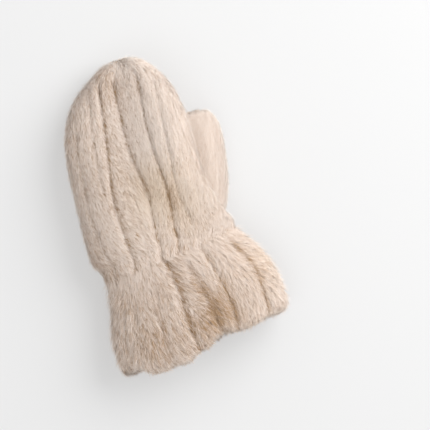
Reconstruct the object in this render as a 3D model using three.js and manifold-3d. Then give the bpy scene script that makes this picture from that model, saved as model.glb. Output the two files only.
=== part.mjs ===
// A fur mitten for the left hand, lying on its palm with the thumb tucked half under it.
// Millimetres, +Z up, +Y towards the fingertips, +X towards the thumb.
// Each panel is a backing with its pile in soft lengthwise strips, the grooves between them pressed in.
import * as THREE from "three";
import { mergeVertices } from "three/addons/utils/BufferGeometryUtils.js";
import Module from "manifold-3d";

const wasm = await Module();
wasm.setup();

// Overall sizes
const HAND_LENGTH = 180; // gathered wrist to fingertip
const HAND_WIDTH = 124; // across the palm, pile included
const HAND_THICKNESS = 56; // back to palm, pile included
const WRIST_WIDTH = 127; // across the gathered line
const WRIST_HEIGHT = 49;
const WRIST_RISE = 1.5; // the gathered line lies this far above the surface below
const WRIST_LEAN = THREE.MathUtils.degToRad(8.6); // the wrist slopes up towards the thumb
const CUFF_LENGTH = 92; // gathered wrist to rim
const CUFF_WIDTH = 162; // across the flared rim
const CUFF_HEIGHT = 60; // top to bottom of the flared rim
const THUMB_LENGTH = 118; // gathered wrist line to thumb tip
const THUMB_WIDTH = 49;
const THUMB_THICKNESS = 37;
const THUMB_OFFSET = 46; // thumb's middle to the hand's middle line, at the thumb's ball

// Fur, cloth and seams
const BACKING = 2; // skin and lining together
const PILE = 7.5; // on the hand and the thumb
const CUFF_PILE = 9.5;
const GROOVE_DEPTH = 4.6; // between two strips of the hand
const GROOVE_REACH = 8.5; // from a groove's bottom to the strip's full height
const CUFF_GROOVE_DEPTH = 7;
const CUFF_GROOVE_REACH = 12;
const RIM_LOBE = 6; // how far a strip's end stands out past the grooves beside it
const RIM_SWING = 7; // how far the rim wanders from an even line
const SIDE_HANG = -0.7; // hang of the rim at both side edges, share of RIM_SWING
const GATHER_DEPTH = 2.2; // pleats drawn in along the wrist, two to a strip
const GATHER_REACH = 17; // how far the pleats run up the hand and down the cuff
const SEAM_GAP = 0.3; // between two sewn pieces
const THUMB_REST_GAP = 0.8; // between the palm and the part of the thumb that only lies against it
const FLOOR_PRESS = 2.2; // how much of the pile is pressed flat underneath

// How finely the surfaces are drawn
const STRIP_LINES = [0, 0.12, 0.3, 0.5, 0.7, 0.88]; // shares of a strip's width where its lines run
const INSIDE_COLUMNS = 32;
const ROUNDNESS = 2.3; // exponent of the sections, 2 is an ellipse
const ROOT_OVERRUN = -0.04; // share of a length by which a shape starts early, to be cut back to its seam

const HAND_WALL = BACKING + PILE;
const CUFF_WALL = BACKING + CUFF_PILE;

// Hand sections. along: share of HAND_LENGTH. left and right: shares of HAND_WIDTH from the middle line.
// thick: share of HAND_THICKNESS. middle: height of the side seam, share of HAND_THICKNESS.
// lift: how much of the thumb's lift raises the thumb side here. lean: share of WRIST_LEAN.
const HAND_SECTIONS = [
  { along: 0.0, left: 0.512, right: 0.512, thick: 0.88, middle: 0.46, lift: 0.0, lean: 1.0 },
  { along: 0.08, left: 0.572, right: 0.475, thick: 0.95, middle: 0.46, lift: 0.16, lean: 0.8 },
  { along: 0.2, left: 0.575, right: 0.42, thick: 1.0, middle: 0.46, lift: 0.62, lean: 0.45 },
  { along: 0.35, left: 0.568, right: 0.382, thick: 1.02, middle: 0.46, lift: 1.0, lean: 0.15 },
  { along: 0.5, left: 0.56, right: 0.376, thick: 1.0, middle: 0.46, lift: 1.0, lean: 0.0 },
  { along: 0.62, left: 0.543, right: 0.372, thick: 0.96, middle: 0.45, lift: 0.95, lean: 0.0 },
  { along: 0.72, left: 0.503, right: 0.348, thick: 0.9, middle: 0.43, lift: 0.85, lean: 0.0 },
  { along: 0.8, left: 0.448, right: 0.32, thick: 0.83, middle: 0.41, lift: 0.75, lean: 0.0 },
  { along: 0.87, left: 0.37, right: 0.272, thick: 0.74, middle: 0.39, lift: 0.65, lean: 0.0 },
  { along: 0.93, left: 0.255, right: 0.21, thick: 0.62, middle: 0.375, lift: 0.6, lean: 0.0 },
  { along: 0.97, left: 0.17, right: 0.15, thick: 0.47, middle: 0.37, lift: 0.55, lean: 0.0 },
  { along: 0.99, left: 0.115, right: 0.095, thick: 0.32, middle: 0.365, lift: 0.5, lean: 0.0 },
  { along: 1.0, left: 0.06, right: 0.045, thick: 0.16, middle: 0.365, lift: 0.5, lean: 0.0 },
];

// Grooves of the back and the palm, one row each. from and to: where along the hand it runs.
// wrist, ball, knuckle, tip: its place across, as shares of HAND_WIDTH, at 0, 0.3, 0.6 and 0.9 of the hand.
// depth: share of GROOVE_DEPTH.
const BACK_GROOVES = [
  { from: 0.0, to: 0.72, wrist: -0.455, ball: -0.5, knuckle: -0.468, tip: -0.37, depth: 0.85 },
  { from: 0.36, to: 0.92, wrist: -0.37, ball: -0.36, knuckle: -0.335, tip: -0.285, depth: 0.75 },
  { from: 0.0, to: 0.93, wrist: -0.28, ball: -0.3, knuckle: -0.245, tip: -0.2, depth: 1.0 },
  { from: 0.0, to: 0.97, wrist: -0.064, ball: -0.045, knuckle: -0.1, tip: -0.09, depth: 1.0 },
  { from: 0.0, to: 0.95, wrist: 0.075, ball: 0.1, knuckle: 0.069, tip: 0.088, depth: 1.0 },
  { from: 0.1, to: 0.86, wrist: 0.225, ball: 0.176, knuckle: 0.19, tip: 0.212, depth: 0.8 },
  { from: 0.05, to: 0.6, wrist: 0.35, ball: 0.32, knuckle: 0.3, tip: 0.28, depth: 0.45 },
];
const PALM_GROOVES = [
  { from: 0.0, to: 0.75, wrist: -0.43, ball: -0.45, knuckle: -0.43, tip: -0.36, depth: 0.8 },
  { from: 0.0, to: 0.9, wrist: -0.3, ball: -0.31, knuckle: -0.29, tip: -0.24, depth: 1.0 },
  { from: 0.0, to: 0.94, wrist: -0.16, ball: -0.17, knuckle: -0.16, tip: -0.13, depth: 1.0 },
  { from: 0.0, to: 0.97, wrist: -0.02, ball: -0.03, knuckle: -0.03, tip: -0.02, depth: 1.0 },
  { from: 0.0, to: 0.95, wrist: 0.13, ball: 0.12, knuckle: 0.1, tip: 0.09, depth: 1.0 },
  { from: 0.0, to: 0.85, wrist: 0.28, ball: 0.25, knuckle: 0.22, tip: 0.19, depth: 0.8 },
];

// Cuff sections. down: share of CUFF_LENGTH from the wrist. flare: how far it has opened from the wrist's
// size to the rim's size. aside: how far its middle leans towards the thumb side, share of CUFF_WIDTH.
const CUFF_SECTIONS = [
  { down: 0.0, flare: 0.0, aside: 0.0 },
  { down: 0.06, flare: 0.05, aside: 0.004 },
  { down: 0.14, flare: 0.18, aside: 0.01 },
  { down: 0.35, flare: 0.6, aside: 0.019 },
  { down: 0.6, flare: 0.96, aside: 0.009 },
  { down: 0.8, flare: 1.0, aside: 0.0 },
  { down: 1.0, flare: 0.96, aside: -0.008 },
];

// Grooves of the cuff. from and to: where down the cuff it runs. wrist and rim: its place across, as shares
// of the section's half width there. hang: how far the rim hangs past its even line here, share of RIM_SWING.
const CUFF_TOP_GROOVES = [
  { from: 0.3, to: 1.0, wrist: -0.86, rim: -0.9, depth: 0.75, hang: -0.9 },
  { from: 0.12, to: 0.7, wrist: -0.72, rim: -0.68, depth: 0.6, hang: 0.5 },
  { from: 0.2, to: 1.0, wrist: -0.36, rim: -0.46, depth: 0.7, hang: 0.9 },
  { from: 0.0, to: 1.0, wrist: -0.13, rim: -0.11, depth: 1.0, hang: 0.6 },
  { from: 0.1, to: 1.0, wrist: 0.09, rim: 0.2, depth: 0.85, hang: -1.0 },
  { from: 0.0, to: 0.95, wrist: 0.41, rim: 0.38, depth: 0.9, hang: -0.4 },
  { from: 0.05, to: 1.0, wrist: 0.8, rim: 0.79, depth: 0.9, hang: -0.3 },
];
const CUFF_UNDER_GROOVES = [
  { from: 0.0, to: 1.0, wrist: -0.8, rim: -0.82, depth: 0.9, hang: -0.2 },
  { from: 0.1, to: 1.0, wrist: -0.5, rim: -0.52, depth: 1.0, hang: 0.0 },
  { from: 0.0, to: 0.9, wrist: -0.24, rim: -0.26, depth: 0.8, hang: 0.2 },
  { from: 0.1, to: 1.0, wrist: 0.02, rim: 0.0, depth: 1.0, hang: 0.0 },
  { from: 0.0, to: 1.0, wrist: 0.3, rim: 0.28, depth: 0.9, hang: -0.2 },
  { from: 0.0, to: 1.0, wrist: 0.6, rim: 0.57, depth: 1.0, hang: -0.2 },
];

// The thumb's middle line. along: share of THUMB_LENGTH. across: share of THUMB_OFFSET. height: share of
// THUMB_THICKNESS. width and thick: shares of THUMB_WIDTH and THUMB_THICKNESS.
const THUMB_SECTIONS = [
  { along: 0.02, across: 0.42, height: 0.82, width: 0.7, thick: 0.72 },
  { along: 0.16, across: 0.64, height: 0.62, width: 0.82, thick: 0.8 },
  { along: 0.32, across: 0.84, height: 0.51, width: 0.93, thick: 0.92 },
  { along: 0.5, across: 0.95, height: 0.46, width: 1.0, thick: 1.0 },
  { along: 0.7, across: 1.03, height: 0.45, width: 0.99, thick: 0.98 },
  { along: 0.84, across: 1.08, height: 0.44, width: 0.93, thick: 0.9 },
  { along: 0.93, across: 1.12, height: 0.43, width: 0.79, thick: 0.74 },
  { along: 0.98, across: 1.14, height: 0.42, width: 0.56, thick: 0.5 },
  { along: 1.0, across: 1.14, height: 0.42, width: 0.25, thick: 0.2 },
];
// Grooves of the thumb. turn: its place round the thumb in degrees, from its outer side over the top.
const THUMB_GROOVES = [
  { from: 0.0, to: 0.92, turn: 48, depth: 0.6 },
  { from: 0.0, to: 0.92, turn: 150, depth: 0.8 },
  { from: 0.0, to: 0.94, turn: 236, depth: 1.0 },
  { from: 0.0, to: 0.94, turn: 304, depth: 1.0 },
];
const PALM_LIFT = 0.72; // the thumb raises the palm's outer edge by this share of its thickness
const LIFT_START = 0.42; // share of the hand's width where the palm starts to rise over the thumb
const THUMB_TUNNEL = 0.42; // share of THUMB_LENGTH over which the thumb's inside opens into the palm's

const { lerp, smoothstep, clamp } = THREE.MathUtils;

// A column of a table at a place between its rows, along a smooth curve that doesn't overshoot.
function lookUp(table, key, place, column) {
  let i = 1;
  while (i < table.length - 1 && table[i][key] < place) i++;
  const slopeAt = (k) => {
    if (k <= 0 || k >= table.length - 1) return 0;
    const before = (table[k][column] - table[k - 1][column]) / (table[k][key] - table[k - 1][key]);
    const after = (table[k + 1][column] - table[k][column]) / (table[k + 1][key] - table[k][key]);
    return before * after <= 0 ? 0 : (2 * before * after) / (before + after);
  };
  const [a, b] = [table[i - 1], table[i]];
  const span = b[key] - a[key];
  const t = clamp((place - a[key]) / span, 0, 1);
  const [t2, t3] = [t * t, t * t * t];
  return (
    (2 * t3 - 3 * t2 + 1) * a[column] +
    (t3 - 2 * t2 + t) * span * slopeAt(i - 1) +
    (3 * t2 - 2 * t3) * b[column] +
    (t3 - t2) * span * slopeAt(i)
  );
}

// A point of the unit rounded section, at an angle from +X towards +Z.
function roundedPoint(angle) {
  const [c, s] = [Math.cos(angle), Math.sin(angle)];
  const power = 2 / ROUNDNESS;
  return [Math.sign(c) * Math.abs(c) ** power, Math.sign(s) * Math.abs(s) ** power];
}

// The angle at which the section's upper half passes a share of its half width; past the edge it stays inside.
function angleAcross(share) {
  const inside = share / (1 + Math.abs(share) ** 8) ** (1 / 8);
  return Math.acos(Math.sign(inside) * Math.abs(inside) ** (ROUNDNESS / 2));
}

// Angles of the grooves round a section, both seams among them: over the top from +X to -X, back below.
function grooveAngles(upperShares, lowerShares, evenness) {
  const spread = (shares) =>
    shares.map((share, k) =>
      lerp(angleAcross(share), (Math.PI * (k + 1)) / (shares.length + 1), evenness),
    );
  const upper = spread([...upperShares].reverse());
  const lower = spread([...lowerShares].reverse()).map((angle) => 2 * Math.PI - angle);
  return [0, ...upper, Math.PI, ...lower.reverse()];
}

// Every lengthwise line of a section, strip by strip.
function lineAngles(grooves) {
  return grooves.flatMap((angle, k) => {
    const next = k + 1 < grooves.length ? grooves[k + 1] : 2 * Math.PI;
    return STRIP_LINES.map((share) => lerp(angle, next, share));
  });
}

function evenAngles(count) {
  return Array.from({ length: count }, (_, j) => (2 * Math.PI * j) / count);
}

// Places from just short of 0 to 1, closer together towards 1 where the shape rounds off.
function placesTowardsTip(evenCount, tipCount, tipStart) {
  const even = Array.from({ length: evenCount }, (_, i) => lerp(ROOT_OVERRUN, tipStart, i / evenCount));
  const tip = Array.from({ length: tipCount + 1 }, (_, i) =>
    lerp(tipStart, 1, Math.sin((Math.PI / 2) * (i / tipCount))),
  );
  return [...even, ...tip];
}

// One ring of the hand. inset: how far inside the fur's outer face it lies, or outside if negative.
function handRing(along, angles, inset) {
  const row = (column) => lookUp(HAND_SECTIONS, "along", along, column);
  const gathered = 1 - smoothstep(along * HAND_LENGTH, 0, GATHER_REACH);
  const left = lerp(row("left") * HAND_WIDTH, WRIST_WIDTH / 2, gathered);
  const right = lerp(row("right") * HAND_WIDTH, WRIST_WIDTH / 2, gathered);
  const tall = lerp(row("thick") * HAND_THICKNESS, WRIST_HEIGHT, gathered) / 2;
  const middle = lerp(row("middle") * HAND_THICKNESS, WRIST_HEIGHT / 2 + WRIST_RISE, gathered);
  const wide = (left + right) / 2;
  const insideShare = (size, full) => size - inset * Math.min(1, size / (0.45 * full));
  const halfWide = insideShare(wide, HAND_WIDTH / 2);
  const halfTall = insideShare(tall, HAND_THICKNESS / 2);
  const y = along * (HAND_LENGTH - inset);
  const lean = row("lean") * WRIST_LEAN;
  const lift = row("lift") * PALM_LIFT * THUMB_THICKNESS;
  return angles.map((angle) => {
    const [across, up] = roundedPoint(angle);
    const x = (right - left) / 2 + halfWide * across;
    const rise = lift * smoothstep((x + left) / (left + right), LIFT_START, 1);
    return new THREE.Vector3(
      x * Math.cos(lean),
      y + x * Math.sin(lean),
      middle + rise + halfTall * up,
    );
  });
}

// The cuff at a distance down from the wrist and a depth under the fur's outer face.
function cuffRing(distance, inset, angles, lengthenedAt = () => 0) {
  const row = (column) => lookUp(CUFF_SECTIONS, "down", clamp(distance / CUFF_LENGTH, 0, 1), column);
  const flare = row("flare");
  const aside = row("aside") * CUFF_WIDTH;
  const halfWide = lerp(WRIST_WIDTH, CUFF_WIDTH, flare) / 2 - inset;
  const halfTall = lerp(WRIST_HEIGHT, CUFF_HEIGHT, flare) / 2 - inset;
  const bottom = lerp(WRIST_RISE, -FLOOR_PRESS, flare);
  const middle = bottom + halfTall + inset;
  return angles.map((angle, j) => {
    const [across, up] = roundedPoint(angle);
    const x = aside + halfWide * across;
    const y = -(distance + lengthenedAt(j));
    return new THREE.Vector3(
      x * Math.cos(WRIST_LEAN) - y * Math.sin(WRIST_LEAN),
      y * Math.cos(WRIST_LEAN) + x * Math.sin(WRIST_LEAN),
      middle + halfTall * up,
    );
  });
}

// One ring of the thumb, square to its middle line.
function thumbRing(along, angles, inset) {
  const at = (place) => {
    const row = (column) => lookUp(THUMB_SECTIONS, "along", place, column);
    return new THREE.Vector3(
      row("across") * THUMB_OFFSET,
      place * THUMB_LENGTH,
      row("height") * THUMB_THICKNESS,
    );
  };
  const row = (column) => lookUp(THUMB_SECTIONS, "along", along, column);
  const forward = at(Math.min(along + 0.02, 1)).sub(at(along - 0.02)).normalize();
  const side = new THREE.Vector3(1, 0, 0).addScaledVector(forward, -forward.x).normalize();
  const up = new THREE.Vector3().crossVectors(side, forward);
  const half = (share, size) => {
    const full = (share * size) / 2;
    return full - inset * Math.min(1, full / (0.3 * size));
  };
  const halfWide = half(row("width"), THUMB_WIDTH);
  const halfTall = half(row("thick"), THUMB_THICKNESS);
  const centre = at(along).addScaledVector(forward, -inset * along ** 4);
  return angles.map((angle) => {
    const [across, high] = roundedPoint(angle);
    return centre
      .clone()
      .addScaledVector(side, halfWide * across)
      .addScaledVector(up, halfTall * high);
  });
}

// Outward normals of a grid of rings that follow each other along +Y.
function gridNormals(rings) {
  const count = rings[0].length;
  return rings.map((ring, i) =>
    ring.map((_, j) => {
      const before = rings[Math.max(i - 1, 0)][j];
      const after = rings[Math.min(i + 1, rings.length - 1)][j];
      const lengthwise = after.clone().sub(before);
      const round = ring[(j + 1) % count].clone().sub(ring[(j + count - 1) % count]);
      return lengthwise.cross(round).normalize();
    }),
  );
}

// How far round a ring each point lies, and the ring's whole length.
function arcLengths(ring) {
  const reached = [0];
  for (let j = 1; j <= ring.length; j++) {
    reached.push(reached[j - 1] + ring[j % ring.length].distanceTo(ring[j - 1]));
  }
  return reached;
}

// Full depth between a groove's ends, running out softly past each.
function runOut(place, from, to, softness) {
  const start = from <= 0 ? 1 : smoothstep(place, from - softness / 2, from + softness / 2);
  const end = to >= 1 ? 1 : 1 - smoothstep(place, to - softness / 2, to + softness / 2);
  return start * end;
}

// Depth pressed into each line of a ring by its grooves, and by the pleats at a distance from the wrist.
function pressDepths(ring, grooveDepth, reach, distance) {
  const reached = arcLengths(ring);
  const lines = STRIP_LINES.length;
  const pleating = GATHER_DEPTH * (1 - smoothstep(distance, 0, GATHER_REACH));
  return ring.map((_, j) => {
    const strip = Math.floor(j / lines);
    const [first, last] = [strip * lines, (strip + 1) * lines];
    const fall = (apart) => Math.max(0, 1 - apart / reach) ** 1.7;
    const before = grooveDepth[strip] * fall(reached[j] - reached[first]);
    const after = grooveDepth[(strip + 1) % grooveDepth.length] * fall(reached[last] - reached[j]);
    const pleat = 0.5 + 0.5 * Math.cos(4 * Math.PI * STRIP_LINES[j % lines]);
    return Math.max(before, after, pleating * pleat);
  });
}

// Moves each point of a grid inwards along its normal.
function pressedIn(rings, depths) {
  const normals = gridNormals(rings);
  return rings.map((ring, i) =>
    ring.map((point, j) => point.clone().addScaledVector(normals[i][j], -depths[i][j])),
  );
}

// Places and depths of the hand's grooves at a place along it.
function handGrooves(along) {
  const row = (column) => lookUp(HAND_SECTIONS, "along", along, column);
  const [left, right] = [row("left"), row("right")];
  const shareOf = (groove) => {
    const stops = [
      { along: 0, across: groove.wrist },
      { along: 0.3, across: groove.ball },
      { along: 0.6, across: groove.knuckle },
      { along: 0.9, across: groove.tip },
    ];
    const across = lookUp(stops, "along", along, "across");
    return (2 * across - (right - left)) / (left + right);
  };
  const depthOf = (groove) => GROOVE_DEPTH * groove.depth * runOut(along, groove.from, groove.to, 0.06);
  const angles = grooveAngles(
    BACK_GROOVES.map(shareOf),
    PALM_GROOVES.map(shareOf),
    smoothstep(along, 0.85, 1),
  );
  return { angles, depths: [0, ...BACK_GROOVES.map(depthOf).reverse(), 0, ...PALM_GROOVES.map(depthOf)] };
}

function furHand() {
  const places = placesTowardsTip(11, 7, 0.74);
  const rings = places.map((along) => handRing(along, lineAngles(handGrooves(along).angles), 0));
  const depths = rings.map((ring, i) =>
    pressDepths(ring, handGrooves(places[i]).depths, GROOVE_REACH, places[i] * HAND_LENGTH),
  );
  return loft(pressedIn(rings, depths));
}

function plainHand(inset, columns, tipCount) {
  const places = placesTowardsTip(8, tipCount, 0.74);
  return loft(places.map((along) => handRing(along, evenAngles(columns), inset)));
}

// Places and depths of the cuff's grooves at a share of the way down it.
function cuffGrooves(down) {
  const shareOf = (groove) => lerp(groove.wrist, groove.rim, down);
  const depthOf = (groove) =>
    CUFF_GROOVE_DEPTH * groove.depth * runOut(down, groove.from, groove.to, 0.2);
  const angles = grooveAngles(CUFF_TOP_GROOVES.map(shareOf), CUFF_UNDER_GROOVES.map(shareOf), 0);
  const [above, below] = [CUFF_TOP_GROOVES.map(depthOf).reverse(), CUFF_UNDER_GROOVES.map(depthOf)];
  return { angles, depths: [0, ...above, 0, ...below] };
}

// The cuff's wall goes down its outer face, round the rim and back up its inner face.
function furCuff() {
  const rimRadius = CUFF_WALL / 2;
  const straight = CUFF_LENGTH - rimRadius - RIM_LOBE;
  const outer = [0, 0.1, 0.22, 0.36, 0.52, 0.68, 0.84].map((share) => ({
    distance: lerp(SEAM_GAP, straight, share),
    inset: 0,
    rim: 0,
    groove: 1,
  }));
  const rim = [0, 0.2, 0.4, 0.6, 0.8, 1].map((share) => ({
    distance: straight + rimRadius * Math.sin(Math.PI * share),
    inset: rimRadius * (1 - Math.cos(Math.PI * share)),
    rim: Math.sin(Math.PI * share) ** 0.7,
    groove: Math.cos((Math.PI * share) / 2) ** 2,
  }));
  const inner = [0.5, 0].map((share) => ({
    distance: lerp(SEAM_GAP, straight, share),
    inset: CUFF_WALL,
    rim: 0,
    groove: 0,
  }));
  const edge = cuffGrooves(1);
  const edgeRing = cuffRing(straight, 0, lineAngles(edge.angles));
  const edgeDepths = pressDepths(edgeRing, edge.depths, CUFF_GROOVE_REACH, CUFF_LENGTH);
  const hangs = [CUFF_TOP_GROOVES, CUFF_UNDER_GROOVES].map((grooves) => grooves.map(({ hang }) => hang));
  const hangRound = [SIDE_HANG, ...hangs[0].reverse(), SIDE_HANG, ...hangs[1], SIDE_HANG];
  const lobeAt = (j) => {
    const strip = Math.floor(j / STRIP_LINES.length);
    const share = smoothstep(STRIP_LINES[j % STRIP_LINES.length], 0, 1);
    const hang = lerp(hangRound[strip], hangRound[strip + 1], share);
    return RIM_LOBE * (1 - edgeDepths[j] / CUFF_GROOVE_DEPTH) + RIM_SWING * hang;
  };
  const stops = [...outer, ...rim, ...inner];
  const rings = stops.map((stop) => {
    const { angles } = cuffGrooves(Math.min(1, stop.distance / CUFF_LENGTH));
    return cuffRing(stop.distance, stop.inset, lineAngles(angles), (j) => stop.rim * lobeAt(j));
  });
  const normals = gridNormals([rings.at(-1), ...rings, rings[0]]).slice(1, -1);
  const pressed = rings.map((ring, i) => {
    const { distance, groove } = stops[i];
    const { depths } = cuffGrooves(Math.min(1, distance / CUFF_LENGTH));
    const pressing = pressDepths(ring, depths, CUFF_GROOVE_REACH, distance);
    return ring.map((point, j) =>
      point.clone().addScaledVector(normals[i][j], 0.8 * groove * pressing[j]),
    );
  });
  return ringSolid(pressed);
}

function furThumb() {
  const places = placesTowardsTip(8, 6, 0.76);
  const turns = THUMB_GROOVES.map((groove) => THREE.MathUtils.degToRad(groove.turn));
  const rings = places.map((along) => thumbRing(along, lineAngles([0, ...turns]), 0));
  const depths = rings.map((ring, i) => {
    const depthOf = (groove) =>
      GROOVE_DEPTH * groove.depth * runOut(places[i], groove.from, groove.to, 0.08);
    return pressDepths(ring, [0, ...THUMB_GROOVES.map(depthOf)], GROOVE_REACH, GATHER_REACH);
  });
  return loft(pressedIn(rings, depths));
}

function plainThumb(inset) {
  const places = placesTowardsTip(8, 5, 0.76);
  return loft(places.map((along) => thumbRing(along, evenAngles(INSIDE_COLUMNS), inset)));
}

// A closed solid through rings, with a fan over each end.
function loft(rings) {
  const count = rings[0].length;
  const points = rings.flat();
  const triangles = [];
  for (let i = 0; i + 1 < rings.length; i++) {
    for (let j = 0; j < count; j++) {
      const [a, b] = [i * count + j, i * count + ((j + 1) % count)];
      triangles.push(a, b + count, b, a, a + count, b + count);
    }
  }
  for (const [row, outwards] of [[0, false], [rings.length - 1, true]]) {
    const centre = points.length;
    const middle = rings[row].reduce((sum, point) => sum.add(point), new THREE.Vector3());
    points.push(middle.divideScalar(count));
    for (let j = 0; j < count; j++) {
      const [a, b] = [row * count + j, row * count + ((j + 1) % count)];
      triangles.push(...(outwards ? [b, a, centre] : [a, b, centre]));
    }
  }
  return solidFrom(points, triangles);
}

// A closed ring of wall: the last ring of points joins the first again.
function ringSolid(rings) {
  const count = rings[0].length;
  const triangles = [];
  for (let i = 0; i < rings.length; i++) {
    const next = (i + 1) % rings.length;
    for (let j = 0; j < count; j++) {
      const after = (j + 1) % count;
      const [a, b] = [i * count + j, i * count + after];
      const [c, d] = [next * count + after, next * count + j];
      triangles.push(a, b, c, a, c, d);
    }
  }
  return solidFrom(rings.flat(), triangles);
}

function solidFrom(points, triangles) {
  const geometry = new THREE.BufferGeometry().setFromPoints(points).setIndex(triangles);
  return solidOf(geometry);
}

function solidOf(geometry) {
  const bare = geometry.clone();
  bare.deleteAttribute("normal");
  bare.deleteAttribute("uv");
  const merged = mergeVertices(bare, 1e-4);
  return new wasm.Manifold(
    new wasm.Mesh({
      numProp: 3,
      vertProperties: new Float32Array(merged.attributes.position.array),
      triVerts: new Uint32Array(merged.index.array),
    }),
  );
}

// A plain box, for cutting, between two corners and turned about +Z at the wrist.
function block(low, high, turn = 0) {
  const size = new THREE.Vector3().subVectors(high, low);
  const geometry = new THREE.BoxGeometry(size.x, size.y, size.z);
  geometry.translate(...new THREE.Vector3().addVectors(low, high).divideScalar(2).toArray());
  geometry.rotateZ(turn);
  return solidOf(geometry);
}

// Everything above the side seam of the hand, or below it, as one long cutting solid.
function seamCutter(above) {
  const reach = 2 * (HAND_WIDTH + WRIST_WIDTH);
  const tall = 4 * (HAND_THICKNESS + THUMB_THICKNESS);
  const places = placesTowardsTip(8, 6, 0.74);
  const edges = places.map((along) => {
    const ring = handRing(along, evenAngles(4 * INSIDE_COLUMNS), 0);
    const top = ring.slice(0, 2 * INSIDE_COLUMNS + 1);
    const bottom = [ring[0], ...ring.slice(2 * INSIDE_COLUMNS).reverse()];
    const seam = [0, 2, 8, 16, 24, 32, 40, 48, 56, 62, 64].map((k) =>
      top[k].clone().add(bottom[k]).divideScalar(2),
    );
    const first = seam[0].clone().setX(seam[0].x + reach);
    const last = seam.at(-1).clone().setX(seam.at(-1).x - reach);
    return [first, ...seam, last];
  });
  edges.unshift(edges[0].map((point) => point.clone().setY(point.y - HAND_LENGTH)));
  edges.push(edges.at(-1).map((point) => point.clone().setY(point.y + HAND_LENGTH)));
  const shift = (above ? 1 : -1) * (SEAM_GAP / 2);
  const rings = edges.map((edge) => {
    const seam = edge.map((point) => point.clone().setZ(point.z + shift));
    const far = [...seam].reverse().map((point) => point.clone().setZ(above ? tall : -tall));
    return above ? [...seam.reverse(), ...far.reverse()] : [...seam, ...far];
  });
  return loft(rings);
}

// The largest of a solid's bodies: what is left of the thumb's root inside the hand falls away.
function largestBody(solid) {
  return solid.decompose().reduce((kept, scrap) => (scrap.volume() > kept.volume() ? scrap : kept));
}

function geometryOf(solid) {
  const mesh = largestBody(solid).getMesh();
  const places = new Float32Array(mesh.numVert * 3);
  for (let i = 0; i < mesh.numVert; i++) {
    places.set(mesh.vertProperties.subarray(i * mesh.numProp, i * mesh.numProp + 3), i * 3);
  }
  const geometry = new THREE.BufferGeometry();
  geometry.setAttribute("position", new THREE.BufferAttribute(places, 3));
  geometry.setIndex(new THREE.BufferAttribute(mesh.triVerts, 1));
  geometry.computeVertexNormals();
  return geometry;
}

function furMesh(name, solid, colour) {
  const material = new THREE.MeshStandardMaterial({ color: colour, roughness: 0.95, metalness: 0 });
  const mesh = new THREE.Mesh(geometryOf(solid), material);
  mesh.name = name;
  return mesh;
}

// Far corners for the cutting blocks
const FAR = 3 * (HAND_LENGTH + CUFF_LENGTH + CUFF_WIDTH);
const aboveFloor = block(new THREE.Vector3(-FAR, -FAR, 0), new THREE.Vector3(FAR, FAR, FAR));
const handSideOfWrist = block(
  new THREE.Vector3(-FAR, 0, -FAR),
  new THREE.Vector3(FAR, FAR, FAR),
  WRIST_LEAN,
);
const thumbRootSide = block(
  new THREE.Vector3(-FAR, -FAR, -FAR),
  new THREE.Vector3(FAR, THUMB_TUNNEL * THUMB_LENGTH, FAR),
);

// The thumb's inside: kept a wall away from the palm, except where it opens into it.
const thumbInside = plainThumb(HAND_WALL);
const thumbCavity = thumbInside
  .subtract(plainHand(-(THUMB_REST_GAP + HAND_WALL), INSIDE_COLUMNS, 6))
  .add(thumbInside.intersect(thumbRootSide));

const handOutside = furHand().intersect(handSideOfWrist);
const handShell = handOutside
  .subtract(plainHand(HAND_WALL, INSIDE_COLUMNS, 6))
  .subtract(thumbCavity)
  .intersect(aboveFloor);
const backPanel = handShell.intersect(seamCutter(true));
const palmPanel = handShell.intersect(seamCutter(false));
const thumb = furThumb()
  .subtract(plainHand(-THUMB_REST_GAP, 2 * INSIDE_COLUMNS, 7))
  .subtract(thumbCavity)
  .intersect(aboveFloor);
const cuff = furCuff().intersect(aboveFloor);

const mitten = new THREE.Group();
mitten.add(
  furMesh("back_panel", backPanel, 0xdccbbd),
  furMesh("palm_panel", palmPanel, 0xd8c6b6),
  furMesh("thumb", thumb, 0xdfcfc1),
  furMesh("cuff", cuff, 0xd6c3b1),
);

// The origin lies on the surface, under the middle of the whole mitten.
const bounds = new THREE.Box3().setFromObject(mitten);
const centre = bounds.getCenter(new THREE.Vector3());
mitten.position.set(-centre.x, -centre.y, -bounds.min.z);

export default mitten;
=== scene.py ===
# The looks of a fur mitten lying on its palm.
# Metres, +Z up, +Y towards the fingertips, +X towards the thumb.
# Its pile is made of short flat strands, combed towards the cuff in small locks, over a skin below them.
import math
import bpy
import numpy as np
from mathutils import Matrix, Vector
from mathutils.bvhtree import BVHTree
from mathutils.kdtree import KDTree


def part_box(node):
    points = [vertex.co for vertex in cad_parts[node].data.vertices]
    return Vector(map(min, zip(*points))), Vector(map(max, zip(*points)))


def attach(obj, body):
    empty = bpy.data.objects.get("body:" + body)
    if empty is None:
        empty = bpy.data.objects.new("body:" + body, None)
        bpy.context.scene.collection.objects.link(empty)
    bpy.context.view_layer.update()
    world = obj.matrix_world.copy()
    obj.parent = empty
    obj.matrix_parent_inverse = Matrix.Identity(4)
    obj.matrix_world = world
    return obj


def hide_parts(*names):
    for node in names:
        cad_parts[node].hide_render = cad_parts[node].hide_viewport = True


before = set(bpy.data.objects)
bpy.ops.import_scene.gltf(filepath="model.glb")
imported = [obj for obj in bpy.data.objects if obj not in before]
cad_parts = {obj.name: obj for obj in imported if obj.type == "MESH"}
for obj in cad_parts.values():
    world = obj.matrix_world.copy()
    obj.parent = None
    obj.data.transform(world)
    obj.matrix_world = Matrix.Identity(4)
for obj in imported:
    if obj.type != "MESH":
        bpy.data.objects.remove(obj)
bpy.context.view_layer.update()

MM = 0.001
SEED = 7

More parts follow.
